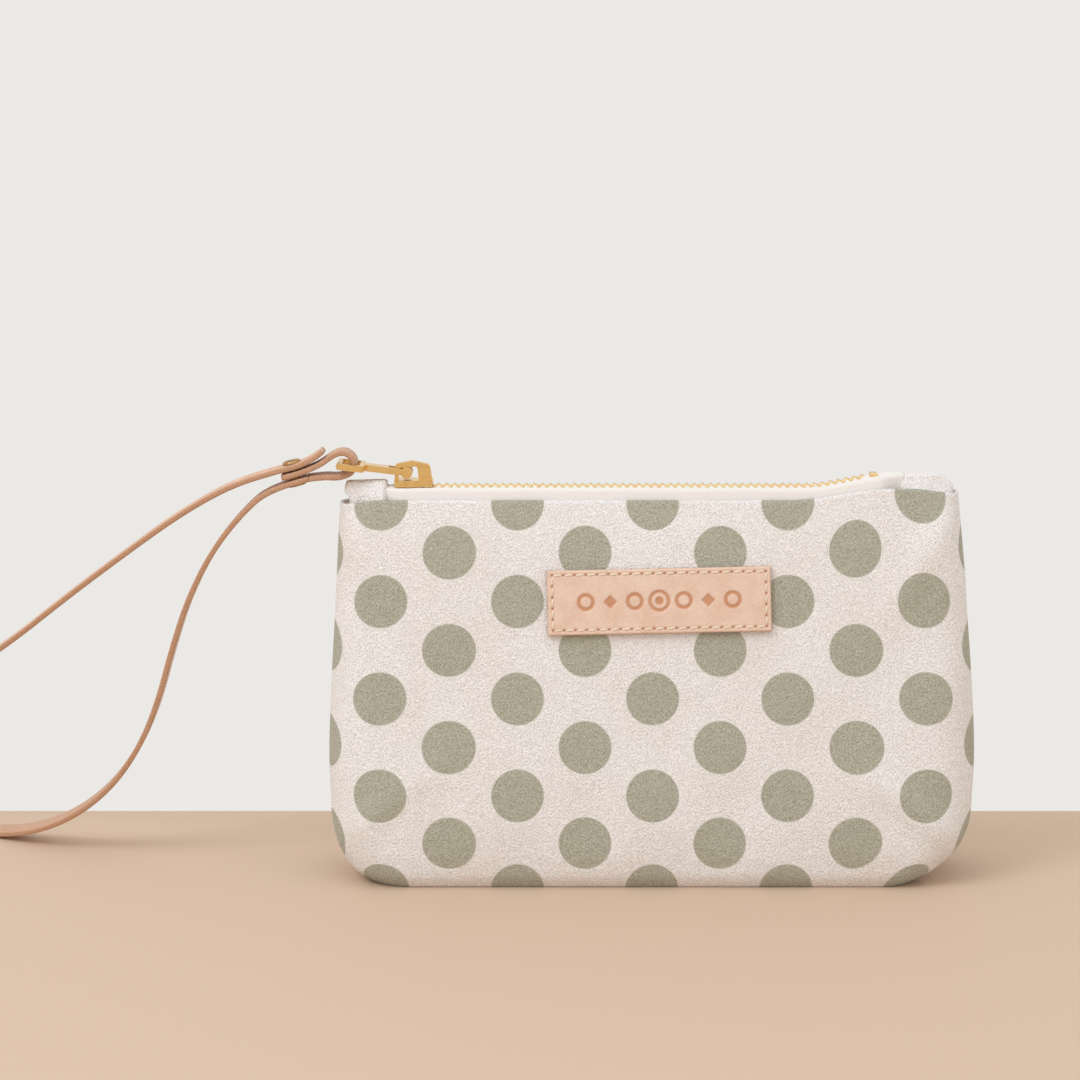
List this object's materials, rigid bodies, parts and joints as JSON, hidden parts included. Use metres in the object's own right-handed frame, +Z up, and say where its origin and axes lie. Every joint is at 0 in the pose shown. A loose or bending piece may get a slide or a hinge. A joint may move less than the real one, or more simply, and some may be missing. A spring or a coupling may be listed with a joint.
{
  "type": "zippered pouch",
  "caption": "Soft flat zippered canvas pouch with a boxed base, a leather label and a riveted leather wrist strap on the zipper pull.",
  "frame": {"origin": "middle of the base, on the surface that the pouch stands on", "axes": "+X along the zipper away from the strap, +Y towards the back panel, +Z up"},
  "size_m": [0.3483, 0.087, 0.1364],
  "materials": {
    "canvas": "coarse printed canvas",
    "lining": "plain cotton",
    "tape": "woven tape",
    "tab": "folded canvas",
    "brass": "satin",
    "rivet": "antique",
    "strap_leather": "vegetable tanned, matt",
    "label_leather": "vegetable tanned, embossed",
    "thread": "waxed thread"
  },
  "bodies": {
    "pouch": {"outer_front": "canvas", "outer_back": "canvas", "lining_front": "lining", "lining_back": "lining", "zip_tape_front": "tape", "zip_tape_back": "tape", "end_tab_left": "tab", "end_tab_right": "tab", "zip_teeth_front": "brass", "zip_teeth_back": "brass", "top_stop_front": "brass", "top_stop_back": "brass", "bottom_stop": "brass", "leather_label": "label_leather", "label_stitches": "thread"},
    "slider": {"slider_body": "brass", "slider_bridge": "brass"},
    "puller": {"puller": "brass"},
    "strap": {"strap_handle": "strap_leather", "strap_tail_loop": "strap_leather", "rivet_post": "rivet", "rivet_cap": "rivet"}
  },
  "joints": [
    {"name": "slider_slide", "type": "slide", "parent": "pouch", "child": "slider", "axis": [1, 0, 0], "range_m": [0, 0.136], "deforming": ["strap_handle", "rivet_post", "rivet_cap", "zip_teeth_front", "zip_teeth_back"]},
    {"name": "puller_pivot", "type": "hinge", "parent": "slider", "child": "puller", "pos_m": [-0.0766, 0, 0.1289], "axis": [0, 1, 0], "range_deg": [0, 125]},
    {"name": "strap_swing", "type": "hinge", "parent": "puller", "child": "strap", "pos_m": [-0.09746, 0, 0.13131], "axis": [0, 1, 0], "range_deg": [0, 30]}
  ]
}
